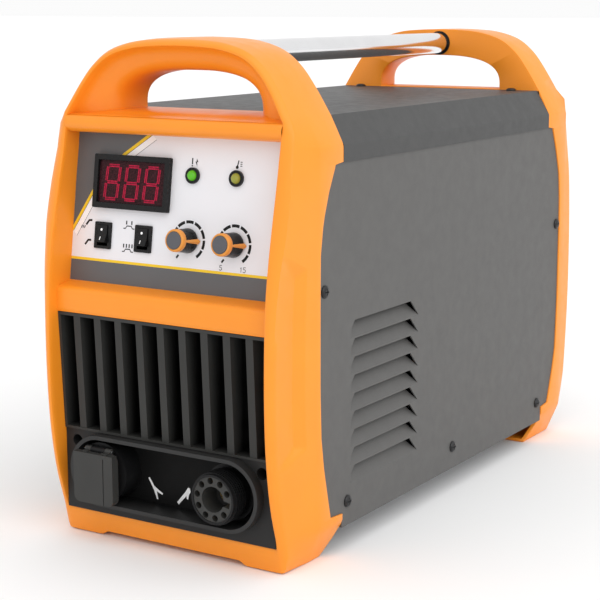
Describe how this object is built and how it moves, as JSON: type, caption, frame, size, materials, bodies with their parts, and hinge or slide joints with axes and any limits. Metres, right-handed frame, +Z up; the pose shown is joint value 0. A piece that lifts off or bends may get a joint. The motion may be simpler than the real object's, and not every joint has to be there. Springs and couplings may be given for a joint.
{
  "type": "plasma cutter power unit",
  "caption": "Portable plasma cutter unit: grey sheet casing between orange moulded end frames, tube handle, knobs, meter, rockers, grille and hinged work socket cover.",
  "frame": {"origin": "on the floor under the middle of the unit", "axes": "+X to the right seen from the front, +Y from the front to the back, +Z up"},
  "size_m": [0.2426, 0.5457, 0.406],
  "materials": {
    "frame_orange": "moulded ABS, orange, light satin",
    "roof_paint": "powder coat, dark grey",
    "side_paint": "powder coat, mid grey, fine texture",
    "zinc_sheet": "zinc plated sheet",
    "black_paint": "powder coat, black",
    "tube_metal": "satin chromed tube",
    "black_plastic": "moulded, black",
    "black_steel": "blackened screw steel",
    "plain_steel": "bright plated",
    "overlay_film": "printed film, satin",
    "red_window": "tinted window, smooth",
    "red_display": "display digits",
    "green_lens": "moulded lens",
    "yellow_lens": "moulded lens",
    "knob_plastic": "moulded, orange collar and black body",
    "board_green": "circuit board",
    "grille_plastic": "moulded, dark grey, fine texture",
    "brass": "turned",
    "red_plastic": "moulded, red",
    "hose_rubber": "smooth hose",
    "bare_aluminium": "extruded",
    "capacitor_sleeve": "shrink sleeve",
    "ferrite": "ferrite core with tape",
    "copper_winding": "enamelled copper"
  },
  "bodies": {
    "casing": {"front_frame": "frame_orange", "rear_frame": "frame_orange", "top_cover": "roof_paint", "left_side_panel": "side_paint", "right_side_panel": "side_paint", "base_plate": "zinc_sheet", "rear_panel": "black_paint", "handle_tube": "tube_metal", "handle_bushes": "black_plastic", "side_screws": "black_steel", "cover_screws": "black_steel", "panel_plate": "zinc_sheet", "panel_overlay": "overlay_film", "meter_bezel": "black_plastic", "meter_window": "red_window", "meter_module": "red_display", "lamp_bezels": "black_plastic", "ready_lamp": "green_lens", "fault_lamp": "yellow_lens", "switch_housings": "black_plastic", "potentiometers": "plain_steel", "control_board": "board_green", "front_grille": "grille_plastic", "connector_housing": "grille_plastic", "housing_screws": "black_steel", "work_socket": "black_plastic", "work_contact": "brass", "torch_connector": "black_plastic", "torch_insert": "grille_plastic", "torch_pins": "brass", "torch_nut": "black_plastic", "fan_housing": "black_plastic", "fan_guard": "plain_steel", "mains_switch": "black_plastic", "cable_gland": "black_plastic", "earth_stud": "brass", "gas_inlet": "brass", "gas_valve": "brass", "gas_hose": "hose_rubber", "shelf_plate": "zinc_sheet", "heat_sinks": "bare_aluminium", "power_modules": "black_plastic", "main_board": "board_green", "bus_capacitors": "capacitor_sleeve", "main_transformer": "ferrite", "output_inductor": "ferrite", "hf_coil": "copper_winding", "work_lead": "hose_rubber", "torch_lead": "hose_rubber"},
    "current_knob": {"current_knob": "knob_plastic", "current_shaft": "plain_steel"},
    "post_gas_knob": {"post_gas_knob": "knob_plastic", "post_gas_shaft": "plain_steel"},
    "gas_test_rocker": {"gas_test_rocker": "black_plastic"},
    "mode_rocker": {"mode_rocker": "black_plastic"},
    "work_cover": {"work_cover": "grille_plastic", "work_hinge_pin": "plain_steel"},
    "fan_rotor": {"fan_rotor": "black_plastic"},
    "mains_knob": {"mains_knob": "red_plastic"},
    "valve_plunger": {"valve_plunger": "plain_steel"}
  },
  "joints": [
    {"name": "current_knob_turn", "type": "hinge", "parent": "casing", "child": "current_knob", "pos_m": [0.013, -0.23927, 0.25084], "axis": [0, -0.9903, 0.1392], "range_deg": [-50, 230]},
    {"name": "post_gas_knob_turn", "type": "hinge", "parent": "casing", "child": "post_gas_knob", "pos_m": [0.056, -0.23927, 0.25084], "axis": [0, -0.9903, 0.1392], "range_deg": [-50, 230]},
    {"name": "gas_test_rocker_tip", "type": "hinge", "parent": "casing", "child": "gas_test_rocker", "pos_m": [-0.071, -0.23708, 0.24852], "axis": [1, 0, 0], "range_deg": [0, 24]},
    {"name": "mode_rocker_tip", "type": "hinge", "parent": "casing", "child": "mode_rocker", "pos_m": [-0.0305, -0.23708, 0.24852], "axis": [1, 0, 0], "range_deg": [0, 24]},
    {"name": "work_cover_hinge", "type": "hinge", "parent": "casing", "child": "work_cover", "pos_m": [-0.062, -0.263, 0.077], "axis": [-1, 0, 0], "range_deg": [0, 70]},
    {"name": "fan_spin", "type": "hinge", "parent": "casing", "child": "fan_rotor", "pos_m": [0, 0.235, 0.13], "axis": [0, 1, 0], "continuous": true},
    {"name": "mains_knob_turn", "type": "hinge", "parent": "casing", "child": "mains_knob", "pos_m": [-0.058, 0.254, 0.268], "axis": [0, 1, 0], "range_deg": [0, 90]},
    {"name": "valve_plunger_lift", "type": "slide", "parent": "casing", "child": "valve_plunger", "axis": [0, 0, 1], "range_m": [0, 0.0025], "stiffness_N_per_m": 400, "springref_m": -0.004}
  ]
}
